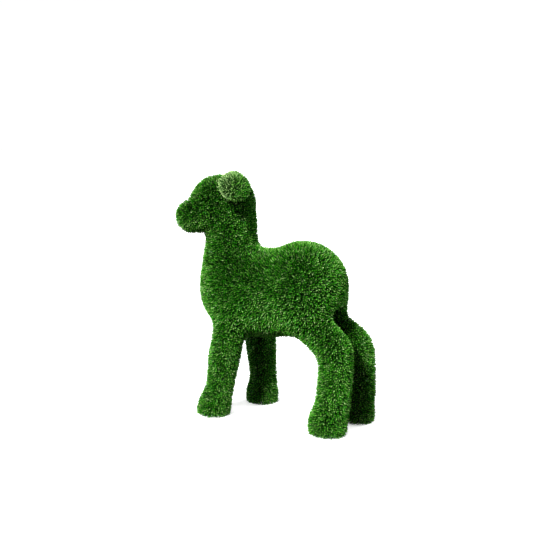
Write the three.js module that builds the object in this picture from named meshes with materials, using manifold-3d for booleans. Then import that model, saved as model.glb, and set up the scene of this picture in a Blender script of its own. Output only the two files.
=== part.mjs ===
// A standing lamb clad in artificial turf, as a garden topiary: one closed body whose skin lies at the tips
// of the turf. The lamb faces -Y with its head turned to its left, its left side is +X, and it stands on four
// flat soles at z = 0.
import * as THREE from "three";
import { mergeVertices } from "three/addons/utils/BufferGeometryUtils.js";
import Module from "manifold-3d";

// Driving dimensions, in millimetres and degrees.
const height = 650; // floor to the top of the ears
const frontTrack = 145; // between the middles of the front feet, across
const hindTrack = 121; // between the middles of the hind feet, across
const frontStride = 74; // how far the left front foot stands ahead of the right one
const hindStride = 30; // the same for the hind feet
const earLength = 98; // from the root to the tip, down the ear
const earWidth = 85; // from the ear's front rim to its back rim
const earThickness = 50; // with the turf of both faces
const earDroop = 45; // slope of the ears below level
const earTwist = 14; // how far the front rim of the ears turns outwards
const headTurn = 30; // of the head to its left
const headTilt = 6; // of the head over to its right

// The lamb's free forms are in hundredths of its height.
const share = height / 100;
const inShares = (rows) => rows.map((row) => row.map((value) => value * share));

// Size of the facets: on the body and the legs, and on the neck and the head, which start at headLow.
const bodyFacet = 2.38 * share;
const headFacet = 1.77 * share;
const headLow = 74 * share;

// Makes a limb thinner across the lamb, to a share of its width.
const slimmed = (to) => ({ along: new THREE.Vector3(1, 0, 0), to });

// A limb is a run of balls along a smooth curve, each ball [across, along, up, radius], and blend is the
// width of the fillet where it joins the limbs before it. A flat limb is thinner along one direction.
function limb(balls, blend, flat = slimmed(1)) {
  const STEPS = 4; // stretches of cone from one ball to the next
  const path = new THREE.CatmullRomCurve3(balls.map(([x, y, z]) => new THREE.Vector3(x, y, z)));
  const girth = new THREE.SplineCurve(balls.map(([, , , radius], i) => new THREE.Vector2(i, radius)));
  const count = (balls.length - 1) * STEPS;
  const stations = Array.from({ length: count + 1 }, (_, i) => ({
    at: path.getPoint(i / count),
    radius: girth.getPoint(i / count).y,
  }));
  return { stations, blend, flat };
}

// Torso and neck. The chest is the lowest part of the barrel and the rump the highest.
const torso = limb(
  inShares([
    [0, -11.7, 50.1, 17.8],
    [0, 0.0, 51.2, 17.9],
    [0, 7.6, 52.4, 17.7],
    [0, 14.7, 55.3, 17.8],
  ]),
  0,
  slimmed(0.94),
);
const neckAlong = -17.8;
const neck = limb(
  inShares([
    [0, neckAlong + 1.8, 53.5, 14.0],
    [0, neckAlong + 0.6, 61.7, 12.5],
    [0, neckAlong, 69.2, 10.8],
    [0, neckAlong, 79.0, 10.3],
    [0, neckAlong, 86.4, 9.7],
  ]),
  4.0 * share,
);

// The head is posed on top of the neck: what follows gives its balls before the turn and the tilt, with the
// neck's middle at 0 along, and the pivot where the skull meets the neck.
const pivotUp = 82.8 * share;
const headPose = new THREE.Matrix4()
  .makeTranslation(0, neckAlong * share, pivotUp)
  .multiply(new THREE.Matrix4().makeRotationZ(THREE.MathUtils.degToRad(headTurn)))
  .multiply(new THREE.Matrix4().makeRotationY(THREE.MathUtils.degToRad(-headTilt)))
  .multiply(new THREE.Matrix4().makeTranslation(0, 0, -pivotUp));
const onHead = ([x, y, z, radius]) => [...new THREE.Vector3(x, y, z).applyMatrix4(headPose), radius];

const head = limb(
  inShares([
    [0, 0.0, 88.3, 8.1],
    [0, -6.3, 89.2, 8.5],
    [0, -11.6, 82.8, 7.8],
    [0, -15.8, 81.2, 6.9],
  ]).map(onHead),
  2.8 * share,
);

// An ear hangs out and down from the side of the head, on a short root. side is 1 for the left ear. Its lobe
// is narrower at the root and at the rounded tip than half-way down, where it has its full width.
function ear(side) {
  const rootRadius = 0.42 * earWidth;
  const tipRadius = 0.45 * earWidth;
  const rootAlong = 0.38 * earLength;
  const droop = THREE.MathUtils.degToRad(earDroop);
  const twist = THREE.MathUtils.degToRad(earTwist);
  const down = new THREE.Vector3(Math.cos(droop), 0, -Math.sin(droop));
  const face = new THREE.Vector3(Math.sin(droop), 0, Math.cos(droop)).applyAxisAngle(down, -twist);
  const middle = new THREE.Vector3(12.7 * share, 1.3 * share, 93.1 * share);
  const top = middle.clone().addScaledVector(down, -earLength / 2);
  const mirror = new THREE.Vector3(side, 1, 1);
  const lobe = [
    [rootAlong, rootRadius],
    [earLength / 2, earWidth / 2],
    [earLength - tipRadius, tipRadius],
  ].map(([distance, radius]) => [
    ...top.clone().addScaledVector(down, distance).multiply(mirror),
    radius,
  ]);
  const root = inShares([
    [2.5 * side, 0.8, 92.3, 4.2],
    [8.7 * side, 1.0, 94.5, 3.6],
  ]);
  const flat = {
    along: face.multiply(mirror).transformDirection(headPose),
    to: earThickness / earWidth,
  };
  return [limb(root.map(onHead), 2.6 * share), limb(lobe.map(onHead), 2.2 * share, flat)];
}

// A leg from the body down through its sole. Its rows are [inset from the track, along, up, radius], a step
// moves it forward more and more from the top down to the sole, and blend is its fillet with the body.
const legSlim = 0.87;
function leg(side, track, step, blend, rows) {
  const [[, , topUp]] = rows;
  const balls = rows.map(([inset, along, up, radius]) => [
    side * (track / 2 - inset),
    along - step * (1 - up / topUp),
    up,
    radius,
  ]);
  return limb(balls, blend, slimmed(legSlim));
}
const frontLeg = inShares([
  [1.5, -11.5, 44.3, 8.0],
  [0.2, -12.3, 32.9, 6.7],
  [0.0, -12.8, 26.1, 6.8],
  [0.0, -13.2, 18.1, 6.2],
  [0.0, -13.5, 12.2, 6.0],
  [0.0, -14.4, 6.5, 6.6],
  [0.0, -15.3, 2.0, 7.2],
  [0.0, -15.5, -4.5, 6.1],
]);

// The lamb stands with its right hock bent lower than its left one.
const leftHockUp = 34.3;
const rightHockUp = 30.8;
const hindLeg = (hockUp) => inShares([
  [1.4, 15.8, 50.5, 11.9],
  [0.5, 22.7, hockUp + 8.1, 7.5],
  [0.0, 32.2, hockUp, 7.4],
  [0.0, 33.8, hockUp - 6.1, 6.8],
  [0.0, 33.8, 21.6, 6.7],
  [0.0, 33.4, 12.2, 6.9],
  [0.0, 32.2, 6.9, 7.4],
  [0.0, 31.8, 2.6, 7.9],
  [0.0, 31.9, -4.5, 6.5],
]);

const limbs = [
  torso,
  neck,
  head,
  ...[1, -1].flatMap((side) => [
    leg(side, frontTrack, (side * frontStride) / 2, 3.0 * share, frontLeg),
    leg(side, hindTrack, (side * hindStride) / 2, 5.1 * share, hindLeg(side > 0 ? leftHockUp : rightHockUp)),
    ...ear(side),
  ]),
];

// Under the rump the body is hollowed out between the thighs.
const hollow = limb(
  inShares([
    [0, 36.4, 38.4, 6.1],
    [0, 30.3, 43.0, 5.9],
  ]),
  2.5 * share,
);

// How far a point lies outside a limb, below zero inside it.
function outsideLimb(point, { stations, flat }) {
  let least = Infinity;
  for (let i = 1; i < stations.length; i += 1) {
    const a = stations[i - 1];
    const b = stations[i];
    const core = new THREE.Vector3().subVectors(b.at, a.at);
    const offset = new THREE.Vector3().subVectors(point, a.at);
    const t = THREE.MathUtils.clamp(offset.dot(core) / core.lengthSq(), 0, 1);
    offset.addScaledVector(core, -t);
    const radius = THREE.MathUtils.lerp(a.radius, b.radius, t);
    const across = offset.dot(flat.along);
    const round = offset.clone().addScaledVector(flat.along, across * (1 / flat.to - 1));
    const steep = offset.addScaledVector(flat.along, across * (1 / flat.to ** 2 - 1));
    const slope = round.length() / Math.max(steep.length(), 1e-9);
    least = Math.min(least, (round.length() - radius) * slope);
  }
  return least;
}

// The lesser of two distances, with a fillet where they are nearly the same.
function blended(a, b, blend) {
  const overlap = Math.max(blend - Math.abs(a - b), 0);
  return Math.min(a, b) - (blend && overlap ** 2 / (4 * blend));
}

// How far a point lies outside the whole lamb.
function outside(point) {
  const joined = limbs.reduce(
    (least, part) => blended(least, outsideLimb(point, part), part.blend),
    Infinity,
  );
  return -blended(-joined, outsideLimb(point, hollow), hollow.blend);
}

// Which way the skin faces at a point, and how steeply the distance grows there.
function slopeAt(point) {
  const NUDGE = 0.001 * share;
  const slope = ["x", "y", "z"].map((axis) => {
    const ahead = point.clone();
    const behind = point.clone();
    ahead[axis] += NUDGE;
    behind[axis] -= NUDGE;
    return (outside(ahead) - outside(behind)) / (2 * NUDGE);
  });
  return new THREE.Vector3(...slope);
}

// Planes of the facet grid from one end past the other, a facet apart, with a plane at zero.
function planes(from, to, facetAt) {
  const list = [Math.floor(from / bodyFacet) * bodyFacet];
  while (list.at(-1) < to) list.push(list.at(-1) + facetAt(list.at(-1)));
  return list;
}

// Skin of the field as a net: one vertex in each grid cell that it passes through, and a square of four
// neighbouring vertices round each grid edge that it crosses.
function surfaceNet(xs, ys, zs) {
  const [nx, ny, nz] = [xs.length, ys.length, zs.length];
  const index = (i, j, k) => (k * ny + j) * nx + i;
  const values = new Float64Array(nx * ny * nz);
  for (let k = 0; k < nz; k += 1)
    for (let j = 0; j < ny; j += 1)
      for (let i = 0; i < nx; i += 1)
        values[index(i, j, k)] = outside(new THREE.Vector3(xs[i], ys[j], zs[k]));
  fillPinches(values, [nx, ny, nz], index);

  const net = { points: [], squares: [] };
  const vertexOf = new Map();
  const grid = (i, j, k) => new THREE.Vector3(xs[i], ys[j], zs[k]);
  const inside = (i, j, k) => values[index(i, j, k)] < 0;
  const STEPS = [[1, 0, 0], [0, 1, 0], [0, 0, 1]];

  // The vertex of a cell starts at the middle of the crossings on its edges.
  function vertex(i, j, k) {
    const key = index(i, j, k);
    if (vertexOf.has(key)) return vertexOf.get(key);
    const sum = new THREE.Vector3();
    let crossings = 0;
    for (let corner = 0; corner < 8; corner += 1) {
      const a = [i + (corner & 1), j + ((corner >> 1) & 1), k + ((corner >> 2) & 1)];
      STEPS.forEach((step, axis) => {
        if ((corner >> axis) & 1) return;
        const b = a.map((value, n) => value + step[n]);
        if (inside(...a) === inside(...b)) return;
        const start = values[index(...a)];
        sum.add(grid(...a).lerp(grid(...b), start / (start - values[index(...b)])));
        crossings += 1;
      });
    }
    net.points.push(sum.divideScalar(crossings));
    vertexOf.set(key, net.points.length - 1);
    return net.points.length - 1;
  }

  for (let k = 1; k < nz - 1; k += 1)
    for (let j = 1; j < ny - 1; j += 1)
      for (let i = 1; i < nx - 1; i += 1)
        STEPS.forEach((step, axis) => {
          const here = inside(i, j, k);
          if (here === inside(i + step[0], j + step[1], k + step[2])) return;
          const back = (n) => STEPS[(axis + n) % 3];
          const cell = (u, v) => vertex(...[i, j, k].map((at, n) => at - u * back(1)[n] - v * back(2)[n]));
          const square = [cell(1, 1), cell(0, 1), cell(0, 0), cell(1, 0)];
          net.squares.push(here ? square : square.reverse());
        });
  return net;
}

// Where inside and outside corners of a grid face lie crosswise, its outside corners are filled, so that the
// net never touches itself.
function fillPinches(values, counts, index) {
  const FILLED = -1e-3;
  let filled = 0;
  for (let k = 0; k < counts[2] - 1; k += 1)
    for (let j = 0; j < counts[1] - 1; j += 1)
      for (let i = 0; i < counts[0] - 1; i += 1)
        for (const [u, v] of [[[1, 0, 0], [0, 1, 0]], [[0, 1, 0], [0, 0, 1]], [[0, 0, 1], [1, 0, 0]]]) {
          const face = [[0, 0], [1, 0], [1, 1], [0, 1]].map(([a, b]) =>
            index(i + a * u[0] + b * v[0], j + a * u[1] + b * v[1], k + a * u[2] + b * v[2]));
          const [p, q, r, s] = face.map((corner) => values[corner] < 0);
          if (p !== r || q !== s || p === q) continue;
          for (const corner of face) values[corner] = Math.min(values[corner], FILLED);
          filled += 1;
        }
  if (filled) fillPinches(values, counts, index);
}

// Moves the net's vertices onto the skin and evens out their spacing along it.
function settle({ points, squares }) {
  const PASSES = 6;
  const EASE = 0.5;
  const FARTHEST = bodyFacet / 2;
  const neighbours = points.map(() => new Set());
  for (const square of squares)
    square.forEach((vertex, n) => {
      neighbours[vertex].add(square[(n + 1) % 4]);
      neighbours[vertex].add(square[(n + 3) % 4]);
    });
  const ontoSkin = (point) => {
    const slope = slopeAt(point);
    return point.addScaledVector(slope, -outside(point) / slope.lengthSq());
  };
  for (let pass = 0; pass < PASSES; pass += 1) {
    const drift = points.map((point, n) => {
      const near = [...neighbours[n]];
      const middle = near.reduce((sum, other) => sum.add(points[other]), new THREE.Vector3());
      const way = middle.divideScalar(near.length).sub(point).multiplyScalar(EASE);
      return way.projectOnPlane(slopeAt(point).normalize()).clampLength(0, FARTHEST);
    });
    points.forEach((point, n) => ontoSkin(point.add(drift[n])));
  }
}

// Each square becomes two triangles, split across its shorter diagonal.
function facets({ points, squares }) {
  return squares.flatMap(([a, b, c, d]) =>
    points[a].distanceTo(points[c]) < points[b].distanceTo(points[d])
      ? [a, b, c, a, c, d]
      : [a, b, d, b, c, d]);
}

// The grid takes in every limb with two facets to spare, and has a plane at the floor.
const reach = new THREE.Box3();
for (const { stations } of limbs)
  for (const { at, radius } of stations)
    reach.union(new THREE.Box3().setFromCenterAndSize(at, new THREE.Vector3().setScalar(2 * radius)));
reach.expandByScalar(2 * bodyFacet);
const net = surfaceNet(
  planes(reach.min.x, reach.max.x, () => bodyFacet),
  planes(reach.min.y, reach.max.y, () => bodyFacet),
  planes(reach.min.z, reach.max.z, (up) => (up < headLow ? bodyFacet : headFacet)),
);
settle(net);

// A vertex next to the floor is put on it, so that the cut there leaves no slivers.
const sliver = 0.2 * share;
for (const point of net.points) if (Math.abs(point.z) < sliver) point.z = 0;

// Solids for joining and cutting.
const wasm = await Module();
wasm.setup();
function solid(vertProperties, triVerts) {
  return new wasm.Manifold(new wasm.Mesh({ numProp: 3, vertProperties, triVerts }));
}
function solidOf(geometry) {
  geometry.deleteAttribute("normal");
  geometry.deleteAttribute("uv");
  const merged = mergeVertices(geometry);
  return solid(merged.attributes.position.array, Uint32Array.from(merged.index.array));
}

// The legs run on below the floor and are cut off flat there.
const ground = new THREE.BoxGeometry(2 * height, 2 * height, height).translate(0, 0, -height / 2);
const uncut = solid(
  Float32Array.from(net.points.flatMap((point) => [...point])),
  Uint32Array.from(facets(net)),
);
const { vertProperties, triVerts } = uncut.subtract(solidOf(ground)).getMesh();

const lambGeometry = new THREE.BufferGeometry();
lambGeometry.setAttribute("position", new THREE.BufferAttribute(vertProperties, 3));
lambGeometry.setIndex(new THREE.BufferAttribute(triVerts, 1));
lambGeometry.computeVertexNormals();

const turf = new THREE.MeshStandardMaterial({ color: 0x2b5f1c, roughness: 0.8, metalness: 0 });
const lamb = new THREE.Mesh(lambGeometry, turf);
lamb.name = "turf_lamb";

// The origin lies on the floor, under the middle of the lamb's box.
lambGeometry.computeBoundingBox();
const middle = lambGeometry.boundingBox.getCenter(new THREE.Vector3());
lamb.position.set(-middle.x, -middle.y, 0);

const topiary = new THREE.Group();
topiary.add(lamb);
export default topiary;
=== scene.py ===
import math
from collections import namedtuple

import bmesh
import bpy
import numpy as np
from mathutils import Matrix, Vector
from mathutils.kdtree import KDTree


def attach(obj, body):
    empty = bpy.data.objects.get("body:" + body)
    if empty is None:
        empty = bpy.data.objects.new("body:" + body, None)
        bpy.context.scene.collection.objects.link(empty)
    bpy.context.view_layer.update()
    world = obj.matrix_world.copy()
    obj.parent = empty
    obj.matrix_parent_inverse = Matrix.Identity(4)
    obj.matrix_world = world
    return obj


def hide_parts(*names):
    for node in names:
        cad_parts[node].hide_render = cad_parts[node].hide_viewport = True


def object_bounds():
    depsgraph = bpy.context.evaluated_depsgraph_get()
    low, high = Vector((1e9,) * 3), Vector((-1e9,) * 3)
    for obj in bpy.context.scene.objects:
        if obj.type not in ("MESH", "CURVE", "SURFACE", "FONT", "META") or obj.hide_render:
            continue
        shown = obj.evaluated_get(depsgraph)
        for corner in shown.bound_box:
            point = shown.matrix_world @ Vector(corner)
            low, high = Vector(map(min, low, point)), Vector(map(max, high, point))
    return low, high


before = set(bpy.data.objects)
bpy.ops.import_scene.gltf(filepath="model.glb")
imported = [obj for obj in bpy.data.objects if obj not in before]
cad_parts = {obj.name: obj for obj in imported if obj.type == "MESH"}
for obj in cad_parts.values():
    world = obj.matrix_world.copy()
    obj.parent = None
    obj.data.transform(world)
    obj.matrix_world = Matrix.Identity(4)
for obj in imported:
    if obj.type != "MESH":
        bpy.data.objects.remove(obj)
cad_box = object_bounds()

# Turf, in metres: the CAD skin lies close under the tips of the blades.
PILE = 0.0170  # length of a blade
TIP_SPREAD = 0.0011  # by which the heights of the tips vary
TIP_RISE = 0.0008  # how far the tips stand out of the CAD skin
TUFT_SPACING = 0.0047  # least distance between the tips of two tufts
TUFT_TRIES = 9  # random places tried for each square of the spacing
TUFT_RADIUS = 0.0005  # of a tuft's tip
BLADES_PER_TUFT = 8
BLADE_WIDTH = 0.0015
TIP_WIDTH = 0.95  # of the blade's width
TUFT_LEAN = 0.15  # of a whole tuft, as a share of its height
BLADE_LEAN = 0.03  # of each blade within its tuft
TUFT_CURL = 0.10  # how far the tips of a tuft bend away together, as a share of their length
BLADE_CURL = 0.25  # and each blade's tip by itself
TUFT_SHADE = 0.25  # how much of a blade's tint its whole tuft shares
THATCH_SHARE = 6.2  # thatch blades for each tuft
THATCH_HEIGHT = (0.66, 0.86)  # of the thatch's tips, as shares of the pile
THATCH_LEAN = 0.35
SAG = 0.07  # how far the blades bend down under their weight
FLOOR_GAP = 0.0004  # between the lowest blades and the floor
BACKING_FLOOR_GAP = 0.001

# Stations along a blade: shares of its length and of its width.
TALL_STATIONS = ((0, 1), (0.55, 0.92), (1, TIP_WIDTH))
THATCH_STATIONS = ((0, 1), (1, TIP_WIDTH))

# Chart of the blades: its name, how far their shades spread across it, and the two edges of a blade there.
CHART = "OFBake"
CHART_SPREAD = 0.96
CHART_EDGES = np.array([0.01, 0.03])

# Reading the CAD skin: corners closer than a tenth of a micrometre are one, and soles lie on the floor.
CORNER_DIGITS = 7
SOLE_HEIGHT = 1e-5

# Head, as the CAD part poses it on the neck: its pivot, and its turn and tilt in degrees. The middle of the
# left ear is given before that pose. The ears' turf carries painted light, a painted highlight that makes it
# paler than the rest, most so in front and above.
HEAD_PIVOT = Vector((0.0, -0.1157, 0.5382))
HEAD_TURN = 30.0
HEAD_TILT = 6.0
EAR_MIDDLE = Vector((0.0826, 0.0085, 0.6052))
EAR_REACH = 0.056
EAR_FROM = 0.050  # how far out from the middle of the head the ears begin
EAR_HALF_WIDTH = 0.0425
EAR_PAINTED_LIGHT = 0.85  # strength of the ears' painted highlight where they are palest
PAINTED_LIGHT_MIDDLE = 0.35  # share of it in the middle of an ear
PAINTED_LIGHT_UPWARD = 0.3  # what is added from there to the upper rim
PAINTED_LIGHT_FORWARD = 0.9  # and to the front rim

# Regions of turf: lower bounds as shares of the height, upper bounds along Y in metres.
HEAD_FROM = 0.80
NECK_FROM = 0.64
LEGS_TO = 0.37
FRONT_LEGS_TO = 0.03
CHEST_TO = -0.045
BARREL_TO = 0.07

# Colours: tint of a blade over its shade, the painted shade that darkens it towards its root in the depth of
# the pile, and the backing's two greens.
BLADE_TINTS = (
    (0.0, (0.015, 0.260, 0.004)),
    (0.4, (0.070, 0.440, 0.012)),
    (0.7, (0.260, 0.600, 0.090)),
    (1.0, (0.730, 0.950, 0.440)),
)
BLADE_PAINTED_SHADE = (
    (0.0, (0.010, 0.040, 0.010)),
    (0.68, (0.050, 0.120, 0.050)),
    (0.86, (0.300, 0.420, 0.300)),
    (1.0, (1.0, 1.0, 1.0)),
)
BACKING_GREENS = (
    (0.0, (0.002, 0.008, 0.001)),
    (1.0, (0.008, 0.030, 0.004)),
)
BACKING_GRAIN = 400  # scale of the weave's noise
WHITE = (1, 1, 1, 1)
BLACK = (0, 0, 0, 1)
PAPER = (0.93, 0.93, 0.93, 1)

# Photograph's camera, in metres and degrees, and in pixels of its square frame.
FRAME_PIXELS = 539
FOCAL_PIXELS = 822.8
SENSOR = 36.0  # millimetres
AZIMUTH = 117.0
ELEVATION = 13.6
DISTANCE = 2.1886
TARGET = Vector((-0.0253, -0.0121, 0.2984))
TARGET_RIGHT = 5.5  # pixels from the picture's middle to the target
TARGET_DOWN = 33.5

# Studio: name, azimuth, elevation, softness (all in degrees) and strength of each light.
STAGE_RADIUS = 14.0  # metres
STAGE_SEGMENTS = 96
SURROUNDINGS = 0.16  # strength of the even light all round
FLOOR_GLOW = 0.5
LIGHTS = (
    ("key", 78.0, 44.0, 12.0, 7.2),
    ("front", 0.0, 14.0, 40.0, 4.4),
    ("back", 222.0, 14.0, 40.0, 5.5),
)

# Corners, closed triangles, triangles without the soles, smooth corner normals, and each of those triangles'
# cross product, which is twice its area long.
Skin = namedtuple("Skin", "points closed faces normals across")

rng = np.random.default_rng(7)


def from_side(azimuth, elevation):
    """Direction towards a place at an azimuth, from -Y round by +X, and an elevation above the floor."""
    a = math.radians(azimuth)
    e = math.radians(elevation)
    return Vector((math.sin(a) * math.cos(e), -math.cos(a) * math.cos(e), math.sin(e)))


def add_camera():
    """The camera looks at the lamb from the left and a little behind, as the photograph does."""
    back = from_side(AZIMUTH, ELEVATION)
    right = Vector((0, 0, 1)).cross(back).normalized()
    up = back.cross(right)
    aim = -back * FOCAL_PIXELS - right * TARGET_RIGHT + up * TARGET_DOWN
    data = bpy.data.cameras.new("camera")
    data.sensor_width = SENSOR
    data.lens = FOCAL_PIXELS / FRAME_PIXELS * SENSOR
    camera = bpy.data.objects.new("camera", data)
    camera.location = TARGET + back * DISTANCE
    camera.rotation_euler = aim.to_track_quat("-Z", "Y").to_euler()
    bpy.context.collection.objects.link(camera)
    bpy.context.scene.camera = camera


def unit(vectors):
    """Vectors at length one."""
    return vectors / np.maximum(np.linalg.norm(vectors, axis=-1, keepdims=True), 1e-12)


def read_skin(node):
    """The CAD skin of a node, with corners in one place joined."""
    mesh = node.data
    mesh.calc_loop_triangles()
    read = np.empty(len(mesh.vertices) * 3)
    mesh.vertices.foreach_get("co", read)
    corners = np.empty(len(mesh.loop_triangles) * 3, np.int32)
    mesh.loop_triangles.foreach_get("vertices", corners)
    points, index = np.unique(read.reshape(-1, 3).round(CORNER_DIGITS), axis=0, return_inverse=True)
    closed = index.reshape(-1)[corners.reshape(-1, 3)]
    sole = (points[closed][:, :, 2] < SOLE_HEIGHT).all(axis=1)
    faces = closed[~sole]
    across = np.cross(points[faces[:, 1]] - points[faces[:, 0]], points[faces[:, 2]] - points[faces[:, 0]])
    normals = np.zeros_like(points)
    for corner in range(3):
        np.add.at(normals, faces[:, corner], across)
    return Skin(points, closed, faces, unit(normals), across)


def scatter(skin, count):
    """Random places on the skin, evenly by area, with their smooth normals."""
    area = np.linalg.norm(skin.across, axis=1)
    face = skin.faces[rng.choice(len(skin.faces), count, p=area / area.sum())]
    share = rng.random((count, 2))
    over = share.sum(axis=1) > 1
    share[over] = 1 - share[over]
    weights = np.column_stack((1 - share.sum(axis=1), share))[:, :, None]
    return (skin.points[face] * weights).sum(axis=1), unit((skin.normals[face] * weights).sum(axis=1))


def thin_out(places, spacing):
    """Indices of places that keep the spacing from one another."""
    tree = KDTree(len(places))
    for number, place in enumerate(places):
        tree.insert(place, number)
    tree.balance()
    free = np.ones(len(places), bool)
    kept = []
    for number, place in enumerate(places):
        if not free[number]:
            continue
        kept.append(number)
        for _, near, _ in tree.find_range(place, spacing):
            free[near] = False
    return np.array(kept)


def sideways(normals):
    """Random vectors along the skin, with a normal spread of one."""
    wild = rng.normal(size=normals.shape)
    return wild - normals * (wild * normals).sum(axis=1, keepdims=True)


def painted_ear_light(places):
    """How much painted light pales the turf at each place: a painted highlight on the ears, most on their
    upper and front rims, and nothing elsewhere.
    """
    pose = (
        Matrix.Translation(HEAD_PIVOT)
        @ Matrix.Rotation(math.radians(HEAD_TURN), 4, "Z")
        @ Matrix.Rotation(math.radians(-HEAD_TILT), 4, "Y")
        @ Matrix.Translation((0, 0, -HEAD_PIVOT.z))
    )
    back = np.array(pose.inverted())
    local = places @ back[:3, :3].T + back[:3, 3]
    mirror = np.where(local[:, :1] < 0, [-1, 1, 1], [1, 1, 1])
    offset = local * mirror - np.array(EAR_MIDDLE)
    near = np.linalg.norm(offset, axis=1) < EAR_REACH
    out = np.abs(local[:, 0]) > EAR_FROM
    slope = (PAINTED_LIGHT_UPWARD * offset[:, 2] - PAINTED_LIGHT_FORWARD * offset[:, 1]) / EAR_HALF_WIDTH
    return np.where(near & out, EAR_PAINTED_LIGHT * np.clip(PAINTED_LIGHT_MIDDLE + slope, 0, 1), 0)


def with_painted_light(shade, painted_light):
    """Shades moved towards the palest by a share of painted light."""
    return shade * (1 - painted_light) + painted_light


def ribbons(tip, normal, lean, bend, height, stations):
    """
    Blades that end at their tips, as corners [blade, station along it, side, xyz]. Their height is a share of
    the pile, and the stations are pairs of a share of the length and one of the width.
    """
    length = height * PILE
    down = np.array([0, 0, -1.0])
    sag = (down - normal * (normal @ down)[:, None]) * SAG
    straight = unit(normal + lean + sag)
    curl = (bend + sideways(normal) * BLADE_CURL) * length[:, None]
    root = tip - straight * length[:, None] - curl
    flat = unit(np.cross(straight, rng.normal(size=normal.shape)))
    blades = np.empty((len(tip), len(stations), 2, 3))
    for number, (along, width) in enumerate(stations):
        middle = root + straight * (length * along)[:, None] + curl * along ** 2
        half = flat * (BLADE_WIDTH * width / 2)
        blades[:, number, 0] = middle - half
        blades[:, number, 1] = middle + half
    blades[..., 2] = np.maximum(blades[..., 2], FLOOR_GAP)
    return blades


def chart_of(shade, height, stations):
    """Chart of blades, which runs across by shade and up by height over the backing; the height sets their
    painted shade.
    """
    chart = np.empty((len(shade), len(stations), 2, 2))
    chart[..., 0] = shade[:, None, None] * CHART_SPREAD + CHART_EDGES
    along = np.array([along for along, _ in stations])
    chart[..., 1] = (height[:, None] * along)[:, :, None]
    return chart


def grow_tufts(skin):
    """Tufts with their tips evenly over the skin: how many there are, their blades and the blades' chart."""
    area = np.linalg.norm(skin.across, axis=1).sum() / 2
    places, normals = scatter(skin, int(area / TUFT_SPACING ** 2 * TUFT_TRIES))
    kept = thin_out(places, TUFT_SPACING)
    places, normals = places[kept], normals[kept]
    tuft_lean = sideways(normals) * TUFT_LEAN
    tuft_curl = sideways(normals) * TUFT_CURL
    tuft_shade = rng.random(len(kept))

    tuft = np.repeat(np.arange(len(kept)), BLADES_PER_TUFT)
    normal = normals[tuft]
    spot = unit(sideways(normal)) * (TUFT_RADIUS * np.sqrt(rng.random(len(tuft))))[:, None]
    rise = (TIP_RISE + rng.normal(size=len(tuft)) * TIP_SPREAD)[:, None]
    lean = tuft_lean[tuft] + sideways(normal) * BLADE_LEAN
    height = np.ones(len(tuft))
    tip = places[tuft] + spot + normal * rise
    blades = ribbons(tip, normal, lean, tuft_curl[tuft], height, TALL_STATIONS)
    shade = np.clip(TUFT_SHADE * tuft_shade[tuft] + (1 - TUFT_SHADE) * rng.random(len(tuft)), 0, 1)
    # Painted light: the ears' blades are moved towards the palest tints as a painted highlight.
    shade = with_painted_light(shade, painted_ear_light(places)[tuft])
    return len(kept), blades, chart_of(shade, height, TALL_STATIONS)


def grow_thatch(skin, count):
    """Shorter blades between the tufts, and their chart."""
    places, normals = scatter(skin, count)
    # Lower thatch tips sit deeper in the pile and take more painted shade through their chart.
    height = rng.uniform(*THATCH_HEIGHT, count)
    tip = places - normals * (PILE * (1 - height) - TIP_RISE)[:, None]
    blades = ribbons(tip, normals, sideways(normals) * THATCH_LEAN, 0, height, THATCH_STATIONS)
    # Painted light: the ears' thatch gets the same painted highlight.
    painted_light = painted_ear_light(places)
    return blades, chart_of(with_painted_light(rng.random(count), painted_light), height, THATCH_STATIONS)


def mesh_of(name, crops):
    """One object of all the crops' blades, with their chart as its UV map."""
    points, quads, chart, start = [], [], [], 0
    for blades, spread in crops:
        count, stations = blades.shape[:2]
        bands = np.arange(stations - 1)[:, None] * 2 + np.array([0, 1, 3, 2])
        quads.append((start + np.arange(count)[:, None, None] * stations * 2 + bands).reshape(-1, 4))
        points.append(blades.reshape(-1, 3))
        chart.append(spread.reshape(-1, 2))
        start += count * stations * 2
    points = np.concatenate(points)
    quads = np.concatenate(quads)
    chart = np.concatenate(chart)
    corners = quads.reshape(-1)
    mesh = bpy.data.meshes.new(name)
    mesh.vertices.add(len(points))
    mesh.vertices.foreach_set("co", points.reshape(-1))
    mesh.loops.add(len(corners))
    mesh.loops.foreach_set("vertex_index", corners.astype(np.int32))
    mesh.polygons.add(len(quads))
    mesh.polygons.foreach_set("loop_start", np.arange(len(quads), dtype=np.int32) * 4)
    mesh.update(calc_edges=True)
    uv = mesh.uv_layers.new(name=CHART)
    uv.data.foreach_set("uv", chart[corners].reshape(-1))
    mesh.polygons.foreach_set("use_smooth", np.ones(len(quads), bool))
    piece = bpy.data.objects.new(name, mesh)
    bpy.context.collection.objects.link(piece)
    return piece


def new_material(name, sockets):
    """A material whose shader has the given values on its own sockets, and that shader."""
    material = bpy.data.materials.new(name)
    material.use_nodes = True
    shader = material.node_tree.nodes["Principled BSDF"]
    for socket, value in sockets.items():
        shader.inputs[socket].default_value = value
    return material, shader


def ramp(tree, source, stops):
    """Output of a colour ramp over a source, with stops of a position and a colour."""
    node = tree.nodes.new("ShaderNodeValToRGB")
    elements = node.color_ramp.elements
    while len(elements) < len(stops):
        elements.new(0.5)
    for element, (position, colour) in zip(elements, stops):
        element.position = position
        element.color = (*colour, 1)
    tree.links.new(source, node.inputs[0])
    return node.outputs[0]


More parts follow.
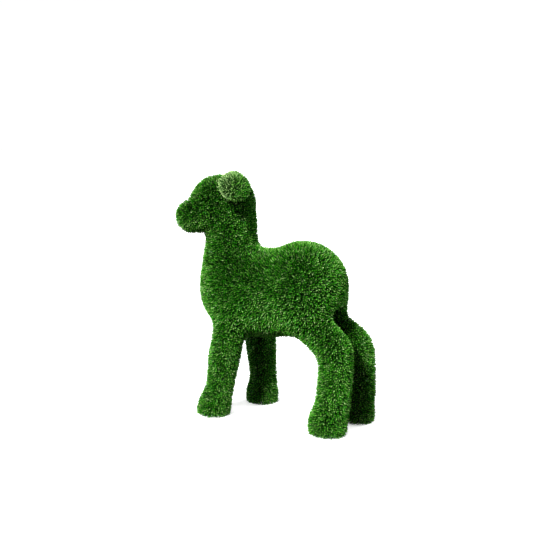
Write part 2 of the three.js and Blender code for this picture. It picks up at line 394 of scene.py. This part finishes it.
def blade_material():
    """Green plastic blades, each with its own tint, and with painted shade that darkens them towards the root
    and leaves the tip paler.
    """
    material, shader = new_material("turf_blades", {"Roughness": 0.45, "Specular IOR Level": 0.12})
    tree = material.node_tree
    chart = tree.nodes.new("ShaderNodeUVMap")
    chart.uv_map = CHART
    split = tree.nodes.new("ShaderNodeSeparateXYZ")
    tree.links.new(chart.outputs[0], split.inputs[0])
    mix = tree.nodes.new("ShaderNodeMix")
    mix.data_type = "RGBA"
    mix.blend_type = "MULTIPLY"
    mix.inputs["Factor"].default_value = 1
    tree.links.new(ramp(tree, split.outputs["X"], BLADE_TINTS), mix.inputs["A"])
    # Painted shade: the chart's height darkens each blade towards its root.
    tree.links.new(ramp(tree, split.outputs["Y"], BLADE_PAINTED_SHADE), mix.inputs["B"])
    tree.links.new(mix.outputs["Result"], shader.inputs["Base Color"])
    return material


def backing_material():
    """Dark green woven backing between the tufts."""
    material, shader = new_material("turf_backing", {"Roughness": 0.9})
    tree = material.node_tree
    where = tree.nodes.new("ShaderNodeTexCoord")
    noise = tree.nodes.new("ShaderNodeTexNoise")
    noise.inputs["Scale"].default_value = BACKING_GRAIN
    tree.links.new(where.outputs["Object"], noise.inputs["Vector"])
    tree.links.new(ramp(tree, noise.outputs["Fac"], BACKING_GREENS), shader.inputs["Base Color"])
    return material


def add_backing(skin):
    """The closed dark skin that the tufts grow from, a pile's depth inside their tips."""
    inner = skin.points - skin.normals * (PILE - TIP_RISE)
    inner[:, 2] = np.maximum(inner[:, 2], BACKING_FLOOR_GAP)
    mesh = bpy.data.meshes.new("turf_backing")
    mesh.from_pydata(inner.tolist(), [], skin.closed.tolist())
    mesh.validate()
    piece = bpy.data.objects.new("turf_backing", mesh)
    bpy.context.collection.objects.link(piece)
    mesh.materials.append(backing_material())
    smooth = piece.modifiers.new("smooth", "SUBSURF")
    smooth.levels = smooth.render_levels = 1
    return piece


def region_of(blades):
    """Name of the region that each blade belongs to, by where it grows."""
    x, y, z = blades[:, 0].mean(axis=1).T
    low, high = cad_box
    share = z / (high.z - low.z)
    side = np.where(x > 0, "left", "right")
    part = np.select(
        [
            share > HEAD_FROM,
            share > NECK_FROM,
            (share < LEGS_TO) & (y < FRONT_LEGS_TO),
            share < LEGS_TO,
            y < CHEST_TO,
            y < BARREL_TO,
        ],
        ["head", "neck", "front_leg", "hind_leg", "chest", "barrel"],
        "rump",
    )
    single = np.isin(part, ["head", "neck"])
    return np.where(single, part, np.char.add(np.char.add(part.astype(str), "_"), side.astype(str)))


def add_turf(skin):
    """All pieces of turf, one for each region of the lamb."""
    tufts, tall, tall_chart = grow_tufts(skin)
    thatch, thatch_chart = grow_thatch(skin, int(tufts * THATCH_SHARE))
    crops = [(tall, tall_chart, region_of(tall)), (thatch, thatch_chart, region_of(thatch))]
    material = blade_material()
    for name in np.unique(region_of(tall)):
        parts = [(blades[region == name], chart[region == name]) for blades, chart, region in crops]
        piece = mesh_of(f"turf_{name}", parts)
        piece.data.materials.append(material)
        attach(piece, "root")


def stage_piece(name, material, shape, **sizes):
    """A floor or backdrop of one bmesh shape, which lights nothing and isn't part of the lamb."""
    mesh = bpy.data.meshes.new(name)
    bm = bmesh.new()
    shape(bm, radius=STAGE_RADIUS, **sizes)
    bm.to_mesh(mesh)
    bm.free()
    mesh.materials.append(material)
    piece = bpy.data.objects.new(name, mesh)
    bpy.context.collection.objects.link(piece)
    piece.visible_diffuse = False
    piece.visible_glossy = False
    return piece


def add_stage():
    """White floor and backdrop, dim surroundings, and soft light from the left, ahead and behind."""
    paper, _ = new_material("paper", {
        "Base Color": PAPER,
        "Roughness": 0.9,
        "Specular IOR Level": 0.0,
        "Emission Color": WHITE,
        "Emission Strength": FLOOR_GLOW,
    })
    stage_piece("floor", paper, bmesh.ops.create_circle, cap_ends=True, segments=STAGE_SEGMENTS)

    glow, _ = new_material("backdrop", {
        "Base Color": BLACK,
        "Emission Color": WHITE,
        "Emission Strength": 1,
    })
    dome = bmesh.ops.create_uvsphere
    backdrop = stage_piece("backdrop", glow, dome, u_segments=STAGE_SEGMENTS, v_segments=STAGE_SEGMENTS // 2)
    backdrop.visible_shadow = False

    world = bpy.data.worlds.new("surroundings")
    world.use_nodes = True
    background = world.node_tree.nodes["Background"]
    background.inputs["Color"].default_value = WHITE
    background.inputs["Strength"].default_value = SURROUNDINGS
    bpy.context.scene.world = world
    bpy.context.scene.view_settings.view_transform = "Standard"

    for name, azimuth, elevation, softness, strength in LIGHTS:
        data = bpy.data.lights.new(name, "SUN")
        data.angle = math.radians(softness)
        data.energy = strength
        light = bpy.data.objects.new(name, data)
        light.rotation_euler = from_side(azimuth, elevation).to_track_quat("Z", "Y").to_euler()
        bpy.context.collection.objects.link(light)


add_camera()
add_stage()
skin = read_skin(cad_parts["turf_lamb"])
backing = add_backing(skin)
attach(backing, "root")
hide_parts("turf_lamb")
add_turf(skin)
